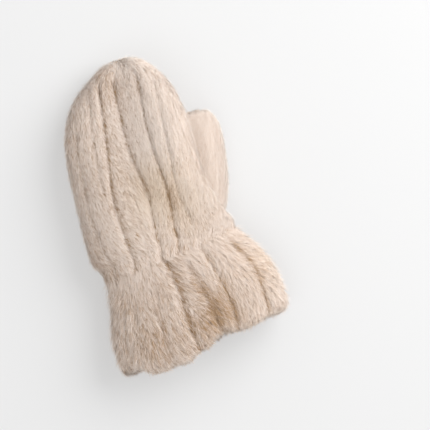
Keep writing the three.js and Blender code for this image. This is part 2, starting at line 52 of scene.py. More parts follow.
# The part's own sizes
HAND_LENGTH = 180 * MM
HAND_WIDTH = 124 * MM
HAND_THICKNESS = 56 * MM
WRIST_WIDTH = 127 * MM
WRIST_HEIGHT = 49 * MM
WRIST_RISE = 1.5 * MM
WRIST_LEAN = math.radians(8.6)
CUFF_LENGTH = 92 * MM
CUFF_WIDTH = 162 * MM
CUFF_HEIGHT = 60 * MM
THUMB_LENGTH = 118 * MM
THUMB_WIDTH = 49 * MM
THUMB_THICKNESS = 37 * MM
THUMB_OFFSET = 46 * MM
CUFF_WALL = 11.5 * MM
GROOVE_DEPTH = 4.6 * MM
GROOVE_REACH = 8.5 * MM
CUFF_GROOVE_DEPTH = 7 * MM
CUFF_GROOVE_REACH = 12 * MM
RIM_LOBE = 6 * MM
RIM_SWING = 7 * MM
SIDE_HANG = -0.7
GATHER_DEPTH = 2.2 * MM
GATHER_REACH = 17 * MM
FLOOR_PRESS = 2.2 * MM
ROUNDNESS = 2.3
PALM_LIFT = 0.72
LIFT_START = 0.42

# The pile's lowest point over the floor, how far the skin lies under the roots, and how near to the
# outer form a point of the CAD has to be to be let down with it
FLOOR_CLEAR = 0.25 * MM
SKIN_UNDER = 0.4 * MM
SKIN_REACH = 4.5 * MM

# Points round a strip of each piece, and rows along it
HAND_STRIP_LINES = 12
CUFF_STRIP_LINES = 12
THUMB_STRIP_LINES = 16
CUFF_FACE_ROWS = 90
CUFF_RIM_ROWS = 29
CUFF_BACK_ROWS = 23
TIP_CAP_ROWS = 8

# How far a strand turns aside, stands up and rolls by itself, in degrees
OWN_TURN = 8
OWN_RISE = 4.5
OWN_ROLL = 20

# Share of strands that stray out of their lock, by how many degrees at least, and how much thinner they are
STRAY_SHARE = 0.2
STRAY_LEAST = 8
STRAY_THINNER = 0.4


def table(names, *rows):
    """Rows of numbers under named columns."""
    return dict(zip(names.split(), np.array(rows, float).T))


HAND_SECTIONS = table(
    "along left right thick middle lift lean",
    (0.0, 0.512, 0.512, 0.88, 0.46, 0.0, 1.0),
    (0.08, 0.572, 0.475, 0.95, 0.46, 0.16, 0.8),
    (0.2, 0.575, 0.42, 1.0, 0.46, 0.62, 0.45),
    (0.35, 0.568, 0.382, 1.02, 0.46, 1.0, 0.15),
    (0.5, 0.56, 0.376, 1.0, 0.46, 1.0, 0.0),
    (0.62, 0.543, 0.372, 0.96, 0.45, 0.95, 0.0),
    (0.72, 0.503, 0.348, 0.9, 0.43, 0.85, 0.0),
    (0.8, 0.448, 0.32, 0.83, 0.41, 0.75, 0.0),
    (0.87, 0.37, 0.272, 0.74, 0.39, 0.65, 0.0),
    (0.93, 0.255, 0.21, 0.62, 0.375, 0.6, 0.0),
    (0.97, 0.17, 0.15, 0.47, 0.37, 0.55, 0.0),
    (0.99, 0.115, 0.095, 0.32, 0.365, 0.5, 0.0),
    (1.0, 0.06, 0.045, 0.16, 0.365, 0.5, 0.0),
)
BACK_GROOVES = table(
    "start end wrist ball knuckle tip depth",
    (0.0, 0.72, -0.455, -0.5, -0.468, -0.37, 0.85),
    (0.36, 0.92, -0.37, -0.36, -0.335, -0.285, 0.75),
    (0.0, 0.93, -0.28, -0.3, -0.245, -0.2, 1.0),
    (0.0, 0.97, -0.064, -0.045, -0.1, -0.09, 1.0),
    (0.0, 0.95, 0.075, 0.1, 0.069, 0.088, 1.0),
    (0.1, 0.86, 0.225, 0.176, 0.19, 0.212, 0.8),
    (0.05, 0.6, 0.35, 0.32, 0.3, 0.28, 0.45),
)
PALM_GROOVES = table(
    "start end wrist ball knuckle tip depth",
    (0.0, 0.75, -0.43, -0.45, -0.43, -0.36, 0.8),
    (0.0, 0.9, -0.3, -0.31, -0.29, -0.24, 1.0),
    (0.0, 0.94, -0.16, -0.17, -0.16, -0.13, 1.0),
    (0.0, 0.97, -0.02, -0.03, -0.03, -0.02, 1.0),
    (0.0, 0.95, 0.13, 0.12, 0.1, 0.09, 1.0),
    (0.0, 0.85, 0.28, 0.25, 0.22, 0.19, 0.8),
)
CUFF_SECTIONS = table(
    "down flare aside",
    (0.0, 0.0, 0.0),
    (0.06, 0.05, 0.004),
    (0.14, 0.18, 0.01),
    (0.35, 0.6, 0.019),
    (0.6, 0.96, 0.009),
    (0.8, 1.0, 0.0),
    (1.0, 0.96, -0.008),
)
CUFF_TOP_GROOVES = table(
    "start end wrist rim depth hang",
    (0.3, 1.0, -0.86, -0.9, 0.75, -0.9),
    (0.12, 0.7, -0.72, -0.68, 0.6, 0.5),
    (0.2, 1.0, -0.36, -0.46, 0.7, 0.9),
    (0.0, 1.0, -0.13, -0.11, 1.0, 0.6),
    (0.1, 1.0, 0.09, 0.2, 0.85, -1.0),
    (0.0, 0.95, 0.41, 0.38, 0.9, -0.4),
    (0.05, 1.0, 0.8, 0.79, 0.9, -0.3),
)
CUFF_UNDER_GROOVES = table(
    "start end wrist rim depth hang",
    (0.0, 1.0, -0.8, -0.82, 0.9, -0.2),
    (0.1, 1.0, -0.5, -0.52, 1.0, 0.0),
    (0.0, 0.9, -0.24, -0.26, 0.8, 0.2),
    (0.1, 1.0, 0.02, 0.0, 1.0, 0.0),
    (0.0, 1.0, 0.3, 0.28, 0.9, -0.2),
    (0.0, 1.0, 0.6, 0.57, 1.0, -0.2),
)
THUMB_SECTIONS = table(
    "along across height width thick",
    (0.02, 0.42, 0.82, 0.7, 0.72),
    (0.16, 0.64, 0.62, 0.82, 0.8),
    (0.32, 0.84, 0.51, 0.93, 0.92),
    (0.5, 0.95, 0.46, 1.0, 1.0),
    (0.7, 1.03, 0.45, 0.99, 0.98),
    (0.84, 1.08, 0.44, 0.93, 0.9),
    (0.93, 1.12, 0.43, 0.79, 0.74),
    (0.98, 1.14, 0.42, 0.56, 0.5),
    (1.0, 1.14, 0.42, 0.25, 0.2),
)
THUMB_GROOVES = table(
    "start end turn depth",
    (0.0, 0.92, 48, 0.6),
    (0.0, 0.92, 150, 0.8),
    (0.0, 0.94, 236, 1.0),
    (0.0, 0.94, 304, 1.0),
)

# How far the pile leans to the thumb side of straight down the mitten, in degrees.
# across: share of the hand's width from its middle line, or of the cuff's half width.
HAND_SLANT = table(
    "across fingers palm",
    (-0.6, 2, 8),
    (-0.45, 12, 24),
    (-0.3, 15, 30),
    (-0.15, 17, 26),
    (0.0, 13, 2),
    (0.15, 10, -2),
    (0.3, -2, -8),
    (0.45, -12, -20),
)
CUFF_SLANT = table(
    "across slant",
    (-1.0, -12),
    (-0.7, 0),
    (-0.3, 18),
    (0.0, 24),
    (0.3, 14),
    (0.5, 2),
    (0.62, 16),
    (0.8, 26),
    (1.0, 24),
)
THUMB_SLANT = -14

# Pile of each piece. deep: the skin lies this far under the outer form. root and tip: how steeply a strand
# leaves the skin, and how steeply it ends, in degrees. lock: distance between locks, and pull how far a
# strand's tip is drawn to its lock's. open: how much of the ribs' depth the pile leaves open.
# ruffle: how far the locks turn aside, in degrees. spread: how much the tone differs between strands.
# relief: how much each strand takes the light on its own. stray: the most that a stray strand stands up.
# shade: how much painted shade darkens the creases. sides: how much paler the pile is painted where it
# faces sideways, as painted light.
PILE = {
    "hand": dict(
        length=9.5 * MM, width=0.42 * MM, deep=2.0 * MM, root=28, tip=-5,
        lock=1.1 * MM, pull=0.25, open=0.36, near=3.2 * MM,
        ruffle=7, spread=0.22, relief=0.4, stray=26, shade=0.55, painted_side_light=0,
    ),
    "thumb": dict(
        length=8.5 * MM, width=0.42 * MM, deep=1.8 * MM, root=28, tip=-5,
        lock=1.2 * MM, pull=0.25, open=0.12, near=2.2 * MM,
        ruffle=6, spread=0.15, relief=0.36, stray=26, shade=0.15, painted_side_light=0.3,
    ),
    "cuff": dict(
        length=13.5 * MM, width=0.43 * MM, deep=4.0 * MM, root=35, tip=-2,
        lock=2.0 * MM, pull=0.4, open=0.34, near=3.2 * MM,
        ruffle=9, spread=0.16, relief=0.3, stray=34, shade=0.5, painted_side_light=0,
    ),
}

# Mean tone of the pile along the mitten, in mm from the part's middle: the cuff's darker roots show more.
TONES = table(
    "place tone",
    (-140, 0.44),
    (-90, 0.44),
    (-50, 0.48),
    (-25, 0.53),
    (20, 0.57),
    (140, 0.57),
)

# Places where the pile's tone is made darker (tone below 0) or paler, and how far around them, in mm. Most
# are painted shade in grooves, folds and on faces turned from the key lamp, or painted light on shaded
# spots such as the fingertip's crown and the rim's underside; at some darker ones more of the darker roots
# show.
PAINTED_LIGHT_AND_ROOT_PATCHES = table(
    "x y reach tone",
    (13, -100, 20, -0.3),
    (20, -127, 8, 0.2),
    (62, -72, 34, -0.12),
    (13, -78, 14, -0.14),
    (3, -70, 9, -0.2),
    (-12, -105, 16, -0.1),
    (-46, -116, 18, -0.2),
    (6, 10, 12, -0.1),
    (7, 22, 5, -0.2),
    (5, 13, 5, -0.22),
    (4, 5, 5, -0.2),
    (-16, 24, 5, -0.22),
    (-13, 15, 5, -0.15),
    (-50, 60, 28, -0.03),
    (-30, 104, 26, -0.08),
    (34, 42, 24, -0.1),
    (2, 92, 20, 0.2),
    (-5, 64, 20, 0.25),
    (-20, 8, 15, 0.18),
    (-7, 138, 10, 0.35),
    (-64, -130, 9, 0.15),
    (-66, -68, 12, -0.12),
    (-36, -6, 14, -0.1),
    (-34, 70, 16, -0.08),
    (28, -58, 14, -0.08),
    (49, -19, 7, 0.25),
    (44, -38, 16, -0.12),
    (28, -16, 16, -0.08),
    (-24, 128, 10, -0.15),
)

# Places where the pile is a little warmer in colour.
WARM_PLACES = table(
    "x y reach warmth",
    (-6, 22, 26, 0.8),
    (10, -4, 20, 0.3),
    (72, -62, 18, 0.3),
)

STRANDS = {"back_panel": 96000, "palm_panel": 60000, "thumb": 76000, "cuff": 96000}


def look_up(rows, key, place, column):
    """A column of a table at places between its rows, along a smooth curve that doesn't overshoot."""
    k, v = rows[key], rows[column]
    steps = np.diff(v) / np.diff(k)
    slopes = np.zeros(len(k))
    product = steps[:-1] * steps[1:]
    same = product > 0
    slopes[1:-1][same] = 2 * product[same] / (steps[:-1] + steps[1:])[same]
    i = np.clip(np.searchsorted(k, place), 1, len(k) - 1)
    span = k[i] - k[i - 1]
    t = np.clip((place - k[i - 1]) / span, 0, 1)
    t2, t3 = t * t, t * t * t
    ends = (2 * t3 - 3 * t2 + 1) * v[i - 1] + (3 * t2 - 2 * t3) * v[i]
    return ends + span * ((t3 - 2 * t2 + t) * slopes[i - 1] + (t3 - t2) * slopes[i])


def smooth(x, low, high):
    """0 up to low and 1 from high on, with a soft step between them."""
    t = np.clip((x - low) / (high - low), 0, 1)
    return t * t * (3 - 2 * t)


def lerp(a, b, t):
    """The value a share t of the way from a to b."""
    return a + (b - a) * t


def unit(v):
    """Vectors brought to a length of one."""
    return v / np.maximum(np.linalg.norm(v, axis=-1, keepdims=True), 1e-12)


def rounded(angle):
    """The unit rounded section, at an angle from +X towards +Z."""
    c, s = np.cos(angle), np.sin(angle)
    power = 2 / ROUNDNESS
    return np.sign(c) * np.abs(c) ** power, np.sign(s) * np.abs(s) ** power


def angle_across(share):
    """The angle at which the rounded section passes a share of its half width."""
    inside = share / (1 + np.abs(share) ** 8) ** (1 / 8)
    return np.arccos(np.sign(inside) * np.abs(inside) ** (ROUNDNESS / 2))


def groove_angles(upper, lower, evenness):
    """Angles of the grooves round each section, both side seams among them."""
    def spread(shares):
        even = math.pi * np.arange(1, shares.shape[1] + 1) / (shares.shape[1] + 1)
        return lerp(angle_across(shares), even, evenness[:, None])
    top = spread(upper[:, ::-1])
    under = 2 * math.pi - spread(lower[:, ::-1])[:, ::-1]
    seam = np.zeros((len(upper), 1))
    return np.hstack([seam, top, seam + math.pi, under])


def line_angles(grooves, strip_lines):
    """Angles of the lines along the piece, evenly set between each groove and the next."""
    after = np.hstack([grooves[:, 1:], np.full((len(grooves), 1), 2 * math.pi)])
    share = np.arange(strip_lines) / strip_lines
    return lerp(grooves[:, :, None], after[:, :, None], share).reshape(len(grooves), -1)


def run_out(place, start, end, softness):
    """Full depth between each groove's ends, running out softly past them."""
    place = place[:, None]
    begin = np.where(start <= 0, 1, smooth(place, start - softness / 2, start + softness / 2))
    finish = np.where(end >= 1, 1, 1 - smooth(place, end - softness / 2, end + softness / 2))
    return begin * finish


def normals_of(at):
    """Outward normals of a grid whose rows follow each other along +Y."""
    lengthwise = np.gradient(at, axis=0)
    around = np.roll(at, -1, 1) - np.roll(at, 1, 1)
    return unit(np.cross(lengthwise, around))


def press_depths(at, groove_depth, reach, distance, strip_lines):
    """Depths pressed into a grid by its grooves and by the pleats at a distance from the wrist."""
    steps = np.linalg.norm(np.roll(at, -1, 1) - at, axis=2)
    reached = np.hstack([np.zeros((len(at), 1)), np.cumsum(steps, axis=1)])
    line = np.arange(at.shape[1])
    strip = line // strip_lines
    def fall(apart):
        return np.maximum(0, 1 - apart / reach) ** 1.7
    apart_before = reached[:, line] - reached[:, strip * strip_lines]
    apart_after = reached[:, (strip + 1) * strip_lines] - reached[:, line]
    before = groove_depth[:, strip] * fall(apart_before)
    after = groove_depth[:, (strip + 1) % groove_depth.shape[1]] * fall(apart_after)
    pleat = 0.5 + 0.5 * np.cos(4 * math.pi * (line % strip_lines) / strip_lines)
    pleating = GATHER_DEPTH * (1 - smooth(distance, 0, GATHER_REACH))
    return np.maximum(np.maximum(before, after), pleating[:, None] * pleat)


def places_towards_tip(even_count, tip_count, tip_start):
    """Shares of a length, evenly set and then closer and closer towards its tip."""
    even = tip_start * np.arange(even_count) / even_count
    return np.concatenate([even, lerp(tip_start, 1, np.sin(math.pi / 2 * np.linspace(0, 1, tip_count)))])


def pile_form(plain, pressing, pile, crease, slant, capped=False, turned=False, filled=0):
    """A grid of the CAD's outer face, and one of the pile's tips, which bridge part of each groove."""
    grid = np.arange(plain.shape[0])[:, None] / 9.0 + np.arange(plain.shape[1]) * 0.9
    uneven = 1 + 0.45 * np.sin(grid) * np.sin(0.37 * grid + 1)
    opened = np.clip(pile["open"] * uneven, 0, 1) * crease ** 1.5
    solid, tips = plain + pressing, plain + filled + pressing * opened[:, :, None]
    out, down = normals_of(tips), unit(np.gradient(tips, axis=0))
    out, down = (-out, down) if turned else (out, -down)
    if capped:
        # The blunt end is closed with rows that shrink to its middle.
        share = np.linspace(0, 0.93, TIP_CAP_ROWS + 1)[1:, None, None]
        solid, tips = (np.concatenate([at, lerp(at[-1:], at[-1].mean(0), share)]) for at in (solid, tips))
        out = np.concatenate([out, unit(lerp(out[-1:], np.array([0, 1.0, 0]), np.sqrt(share)))])
        down = np.concatenate([down, np.repeat(down[-1:], TIP_CAP_ROWS, 0)])
        crease = np.concatenate([crease, np.repeat(crease[-1:], TIP_CAP_ROWS, 0) * 0.4])
        slant = np.concatenate([slant, np.repeat(slant[-1:], TIP_CAP_ROWS, 0)])
    skin = tips - out * (pile["deep"] + SKIN_UNDER)
    return dict(solid=solid, at=tips, out=out, down=down, crease=crease, slant=slant, skin=skin)


def hand_surface(strip_lines=HAND_STRIP_LINES):
    """The hand's two panels, from the wrist to the fingertips, with the palm's bend over the thumb."""
    along = places_towards_tip(130, 70, 0.74)
    row = {name: look_up(HAND_SECTIONS, "along", along, name) for name in HAND_SECTIONS}
    def share_of(grooves):
        stops = np.stack([grooves[name] for name in ("wrist", "ball", "knuckle", "tip")])
        places = table("along", *[(x,) for x in (0, 0.3, 0.6, 0.9)])
        columns = [look_up({**places, "across": s}, "along", along, "across") for s in stops.T]
        return (2 * np.stack(columns, 1) - (row["right"] - row["left"])[:, None]) / (
            row["left"] + row["right"]
        )[:, None]
    def depth_of(grooves):
        return GROOVE_DEPTH * grooves["depth"] * run_out(along, grooves["start"], grooves["end"], 0.06)
    knots = groove_angles(share_of(BACK_GROOVES), share_of(PALM_GROOVES), smooth(along, 0.85, 1))
    angles = line_angles(knots, strip_lines)
    seam = np.zeros((len(along), 1))
    depths = np.hstack([seam, depth_of(BACK_GROOVES)[:, ::-1], seam, depth_of(PALM_GROOVES)])
    gathered = 1 - smooth(along * HAND_LENGTH, 0, GATHER_REACH)
    left = lerp(row["left"] * HAND_WIDTH, WRIST_WIDTH / 2, gathered)[:, None]
    right = lerp(row["right"] * HAND_WIDTH, WRIST_WIDTH / 2, gathered)[:, None]
    tall = lerp(row["thick"] * HAND_THICKNESS, WRIST_HEIGHT, gathered)[:, None] / 2
    middle = lerp(row["middle"] * HAND_THICKNESS, WRIST_HEIGHT / 2 + WRIST_RISE, gathered)[:, None]
    lean = (row["lean"] * WRIST_LEAN)[:, None]
    lift = (row["lift"] * PALM_LIFT * THUMB_THICKNESS)[:, None]
    across, up = rounded(angles)
    x = (right - left) / 2 + (left + right) / 2 * across
    rise = lift * smooth((x + left) / (left + right), LIFT_START, 1)
    y = (along * HAND_LENGTH)[:, None] + x * np.sin(lean)
    at = np.stack([x * np.cos(lean), y, middle + rise + tall * up], 2)
    pressed = press_depths(at, depths, GROOVE_REACH, along * HAND_LENGTH, strip_lines)
    pressing = -normals_of(at) * pressed[:, :, None]
    crease = np.clip(pressed / GROOVE_DEPTH, 0, 1) * (1 - smooth(along, 0.89, 0.98))[:, None]
    fingers = smooth(along, 0.35, 0.65)[:, None]
    share = x / HAND_WIDTH
    at_palm, at_fingers = (look_up(HAND_SLANT, "across", share, part) for part in ("palm", "fingers"))
    slant = lerp(at_palm, at_fingers, fingers)
    top = np.arange(at.shape[1]) < strip_lines * (len(BACK_GROOVES["depth"]) + 1)
    return pile_form(at, pressing, PILE["hand"], crease, slant, capped=True) | dict(top=top)


def cuff_ring_grid(distance, inset, angles, lengthened):
    """Rings of the flared cuff at distances from the wrist, each inside the outer face by its inset."""
    down = np.clip(distance / CUFF_LENGTH, 0, 1)
    flare = look_up(CUFF_SECTIONS, "down", down, "flare")
    aside = (look_up(CUFF_SECTIONS, "down", down, "aside") * CUFF_WIDTH)[:, None]
    half_wide = (lerp(WRIST_WIDTH, CUFF_WIDTH, flare) / 2 - inset)[:, None]
    half_tall = (lerp(WRIST_HEIGHT, CUFF_HEIGHT, flare) / 2 - inset)[:, None]
    middle = lerp(WRIST_RISE, -FLOOR_PRESS, flare)[:, None] + half_tall + inset[:, None]
    across, up = rounded(angles)
    x = aside + half_wide * across
    y = -(distance[:, None] + lengthened)
    c, s = math.cos(WRIST_LEAN), math.sin(WRIST_LEAN)
    return np.stack([x * c - y * s, y * c + x * s, middle + half_tall * up], 2), across


def cuff_surface(strip_lines=CUFF_STRIP_LINES):
    """The cuff: down its outer face, round the wavy rim and a short way up inside."""
    rim_radius = CUFF_WALL / 2
    straight = CUFF_LENGTH - rim_radius - RIM_LOBE
    face = np.linspace(0, 1, CUFF_FACE_ROWS)
    turn = np.linspace(0, 1, CUFF_RIM_ROWS + 1)[1:]
    back = np.linspace(1, 0.62, CUFF_BACK_ROWS + 1)[1:]
    distance = np.concatenate(
        [straight * face, straight + rim_radius * np.sin(math.pi * turn), straight * back]
    )
    inset = np.concatenate([0 * face, rim_radius * (1 - np.cos(math.pi * turn)), 0 * back + CUFF_WALL])
    rim = np.concatenate([0 * face, np.abs(np.sin(math.pi * turn)) ** 0.7, 0 * back])
    cut_back = smooth(straight - distance, 14 * MM, 0)
    groove = np.concatenate([0 * face + 1, np.cos(math.pi * turn / 2) ** 2, 0 * back])
    down = np.clip(distance / CUFF_LENGTH, 0, 1)
    def grooves_at(place):
        def share_of(grooves):
            return lerp(grooves["wrist"], grooves["rim"], place[:, None])
        def depth_of(grooves):
            deep = CUFF_GROOVE_DEPTH * grooves["depth"]
            return deep * run_out(place, grooves["start"], grooves["end"], 0.2)
        knots = groove_angles(share_of(CUFF_TOP_GROOVES), share_of(CUFF_UNDER_GROOVES), 0 * place)
        seam = np.zeros((len(place), 1))
        top, under = depth_of(CUFF_TOP_GROOVES)[:, ::-1], depth_of(CUFF_UNDER_GROOVES)
        depths = np.hstack([seam, top, seam, under])
        return line_angles(knots, strip_lines), depths
    edge_angles, edge_grooves = grooves_at(np.ones(1))
    edge, _ = cuff_ring_grid(np.array([straight]), np.zeros(1), edge_angles, 0)
    edge_place = np.array([CUFF_LENGTH])
    edge_depths = press_depths(edge, edge_grooves, CUFF_GROOVE_REACH, edge_place, strip_lines)[0]
    hang = np.concatenate(
        [[SIDE_HANG], CUFF_TOP_GROOVES["hang"][::-1], [SIDE_HANG], CUFF_UNDER_GROOVES["hang"], [SIDE_HANG]]
    )
    line = np.arange(len(edge_depths))
    strip, share = line // strip_lines, smooth(line % strip_lines / strip_lines, 0, 1)
    lobes = RIM_LOBE * (1 - edge_depths / CUFF_GROOVE_DEPTH)
    lobes = lobes + RIM_SWING * lerp(hang[strip], hang[strip + 1], share)
    angles, depths = grooves_at(down)
    lengthened = np.where(lobes > 0, rim[:, None] * lobes, cut_back[:, None] * lobes)
    at, across = cuff_ring_grid(distance, inset, angles, lengthened)
    pressed = press_depths(at, depths, CUFF_GROOVE_REACH, distance, strip_lines) * groove[:, None]
    pressing = normals_of(at) * (0.8 * pressed)[:, :, None]
    slant = look_up(CUFF_SLANT, "across", across, "slant") * (1 - smooth(down, 0.9, 1))[:, None]
    crease = np.clip(pressed / CUFF_GROOVE_DEPTH, 0, 1)
    # The pile hangs over part of the notches between the rim's lobes.
    ring = np.mean([np.roll(lobes, step) for step in range(-9, 10)], axis=0)
    over = rim[:, None] * np.maximum(ring - lobes, 0)
    filled = np.stack([over * math.sin(WRIST_LEAN), -over * math.cos(WRIST_LEAN), 0 * over], 2)
    return pile_form(at, pressing, PILE["cuff"], crease, slant, turned=True, filled=filled)


def thumb_surface(strip_lines=THUMB_STRIP_LINES):
    """The thumb, a closed tube that curves away from the palm."""
    along = places_towards_tip(90, 50, 0.76)
    turns = np.radians(THUMB_GROOVES["turn"])
    angles = line_angles(np.tile(np.concatenate([[0], turns]), (len(along), 1)), strip_lines)
    def middle_at(place):
        across, height = (look_up(THUMB_SECTIONS, "along", place, name) for name in ("across", "height"))
        return np.stack([across * THUMB_OFFSET, place * THUMB_LENGTH, height * THUMB_THICKNESS], 1)
    forward = unit(middle_at(np.minimum(along + 0.02, 1)) - middle_at(along - 0.02))
    side = unit(np.array([1.0, 0, 0]) - forward * forward[:, :1])
    up = np.cross(side, forward)
    wide = look_up(THUMB_SECTIONS, "along", along, "width") * THUMB_WIDTH / 2
    thick = look_up(THUMB_SECTIONS, "along", along, "thick") * THUMB_THICKNESS / 2
    across, high = rounded(angles)
    at = middle_at(along)[:, None, :] + side[:, None, :] * (wide[:, None] * across)[:, :, None]
    at = at + up[:, None, :] * (thick[:, None] * high)[:, :, None]
    runs = run_out(along, THUMB_GROOVES["start"], THUMB_GROOVES["end"], 0.08)
    depths = np.hstack([np.zeros((len(along), 1)), GROOVE_DEPTH * THUMB_GROOVES["depth"] * runs])
    past_the_pleats = np.full(len(along), GATHER_REACH)
    pressed = press_depths(at, depths, GROOVE_REACH, past_the_pleats, strip_lines)
    pressing = -normals_of(at) * pressed[:, :, None]
    crease = np.clip(pressed / GROOVE_DEPTH, 0, 1)
    slant = np.full(crease.shape, float(THUMB_SLANT))
    return pile_form(at, pressing, PILE["thumb"], crease, slant, capped=True)


# The part's origin, from the wrist's middle: the tip and the cuff end where the CAD's do.
hand, cuff, thumb = hand_surface(), cuff_surface(), thumb_surface()
cad_cuff = np.array(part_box("cuff"))
cuff_points = cuff["solid"].reshape(-1, 3)
shift = np.array([
    cad_cuff[:, 0].mean() - (cuff_points[:, 0].min() + cuff_points[:, 0].max()) / 2,
    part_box("back_panel")[1][1] - HAND_LENGTH,
    0.0,
])
for surface in (hand, cuff, thumb):
    for name in ("solid", "at", "skin"):
        surface[name] = surface[name] + shift
    surface["row_step"] = np.gradient(surface["at"], axis=0)
    surface["column_step"] = (np.roll(surface["at"], -1, 1) - np.roll(surface["at"], 1, 1)) / 2


def cad_tree(name):
    """A CAD node's faces, ready for asking what is nearest."""
    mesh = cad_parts[name].data
    points = [v.co.copy() for v in mesh.vertices]
    return BVHTree.FromPolygons(points, [tuple(p.vertices) for p in mesh.polygons])


def at_place(grid, row, column):
    """Values of a grid between its points; past its first and last row it goes on straight."""
    i = np.clip(np.floor(row), 0, len(grid) - 2).astype(int)
    j = np.floor(column).astype(int) % grid.shape[1]
    k = (j + 1) % grid.shape[1]
    w = (len(row),) + (1,) * (grid.ndim - 2)
    u, v = (column - np.floor(column)).reshape(w), (row - i).reshape(w)
    return lerp(lerp(grid[i, j], grid[i, k], u), lerp(grid[i + 1, j], grid[i + 1, k], u), v)


def scatter(surface, count, lines, tree, near, rng, favour):
    """Rows and columns of strands, spread over a grid by area, kept where the CAD's own face is near."""
    at = surface["at"]
    columns = at.shape[1]
    a, b, c = at[:-1], np.roll(at, -1, 1)[:-1], at[1:]
    area = np.linalg.norm(np.cross(b - a, c - a), axis=2) * favour(surface["out"][:-1]) * lines
    cell = rng.choice(area.size, count * 3, p=area.ravel() / area.sum())
    row, column = cell // columns + rng.random(len(cell)), cell % columns + rng.random(len(cell))
    kept = []
    for index, point in enumerate(at_place(surface["solid"], row, column)):
        if tree.find_nearest(Vector(point), near)[0] is not None:
            kept.append(index)
            if len(kept) == count:
                break
    return row[kept], column[kept]


def walk(surface, row, column, turn, distance):
    """Goes over a grid's face from given places, at an angle from straight down it."""
    for _ in range(3):
        out = unit(at_place(surface["out"], row, column))
        down = unit(at_place(surface["down"], row, column))
        way = down * np.cos(turn)[:, None] + np.cross(out, down) * np.sin(turn)[:, None]
        way = way * (distance / 3)[:, None]
        r, c = at_place(surface["row_step"], row, column), at_place(surface["column_step"], row, column)
        rr, cc, rc = (r * r).sum(1), (c * c).sum(1), (r * c).sum(1)
        wr, wc = (way * r).sum(1), (way * c).sum(1)
        whole = np.maximum(rr * cc - rc * rc, 1e-16)
        row = row + np.clip((wr * cc - wc * rc) / whole, -30, 30)
        column = column + np.clip((wc * rr - wr * rc) / whole, -8, 8)
    return row, column


def combed(surface, row, column, pile, rng):
    """Strands from their places.

    Gives their roots, middles and tips, the outward ways there, their widths, their tones and their relief.
    """
    n = len(row)
    start = at_place(surface["at"], row, column)
    out = unit(at_place(surface["out"], row, column))
    crease = at_place(surface["crease"], row, column)
    # Each strand belongs to the nearest lock, and its tip is drawn towards that lock's own tip.
    _, seeds = np.unique(np.floor(start / pile["lock"]), axis=0, return_index=True)
    tree = KDTree(len(seeds))
    for index, seed in enumerate(seeds):
        tree.insert(Vector(start[seed]), index)
    tree.balance()
    lock = np.array([tree.find(Vector(p))[1] for p in start])
    lock_turn, lock_rise, lock_tone = rng.normal(0, 1, (3, len(seeds)))
    facing = lerp(-1, 1, smooth(out[:, 2], -0.5, 0.1))
    turn = at_place(surface["slant"], row, column) * facing + swirls(start)
    turn = np.radians(turn + pile["ruffle"] * lock_turn[lock] + rng.normal(0, OWN_TURN, n))
    stray = rng.random(n) < STRAY_SHARE
    rise = 0.5 * pile["ruffle"] * lock_rise[lock] + rng.normal(0, OWN_RISE, n)
    rise = rise + rng.uniform(STRAY_LEAST, pile["stray"], n) * stray
    first, last = np.radians(pile["root"] + rise), np.radians(pile["tip"] + rise)
    half = pile["length"] * rng.uniform(0.72, 1.1, n) * (1 - 0.3 * crease) / 2
    height = half * np.sin(first) - pile["deep"]
    row, column = walk(surface, row, column, turn, half * np.cos(first))
    middle_out = unit(at_place(surface["out"], row, column))
    middle = at_place(surface["at"], row, column) + middle_out * height[:, None]
    height = height + half * np.sin(last)
    row, column = walk(surface, row, column, turn, half * np.cos(last))
    tip_out = unit(at_place(surface["out"], row, column))
    tip = at_place(surface["at"], row, column) + tip_out * height[:, None]
    root = start - out * pile["deep"]
    gathered = tip[seeds][lock] + rng.normal(0, 0.25 * MM, (n, 3))
    close = np.linalg.norm(gathered - tip, axis=1) < 2.5 * pile["lock"]
    pull = (pile["pull"] * close * ~stray * rng.uniform(0.4, 1, n))[:, None]
    middle = middle + (gathered - tip) * pull * 0.3
    tip = lerp(tip, gathered, pull)
    wide = unit(np.cross(tip - root, out))
    roll = rng.normal(0, math.radians(OWN_ROLL), n)[:, None]
    wide = unit(wide * np.cos(roll) + out * np.sin(roll))
    wide = wide * (pile["width"] * rng.uniform(0.7, 1.25, n) * (1 - STRAY_THINNER * stray))[:, None]
    # The pile is smoothest at the thumb's side.
    evenness = lerp(1.1, 0.5, smooth(start[:, 0], -30 * MM, 55 * MM))
    tone = pile["spread"] * evenness * (0.3 * lock_tone[lock] + rng.normal(0, 1, n)) + mottling_and_painted_light(start)
    # The creases are painted darker in dashes, as painted shade.
    dashes = 1 + 0.5 * np.sin(start[:, 1] / (2.4 * MM) + 3 * np.sin(start[:, 1] / (11 * MM)))
    tone = tone - pile["shade"] * dashes * crease ** 5 + look_up(TONES, "place", start[:, 1] / MM, "tone")
    # Painted light: the pile is painted paler where it faces sideways.
    tone = tone + pile["painted_side_light"] * (1 - smooth(out[:, 2], 0.1, 0.8))
    return (root, middle, tip), (out, middle_out, tip_out), wide, tone, pile["relief"] * evenness


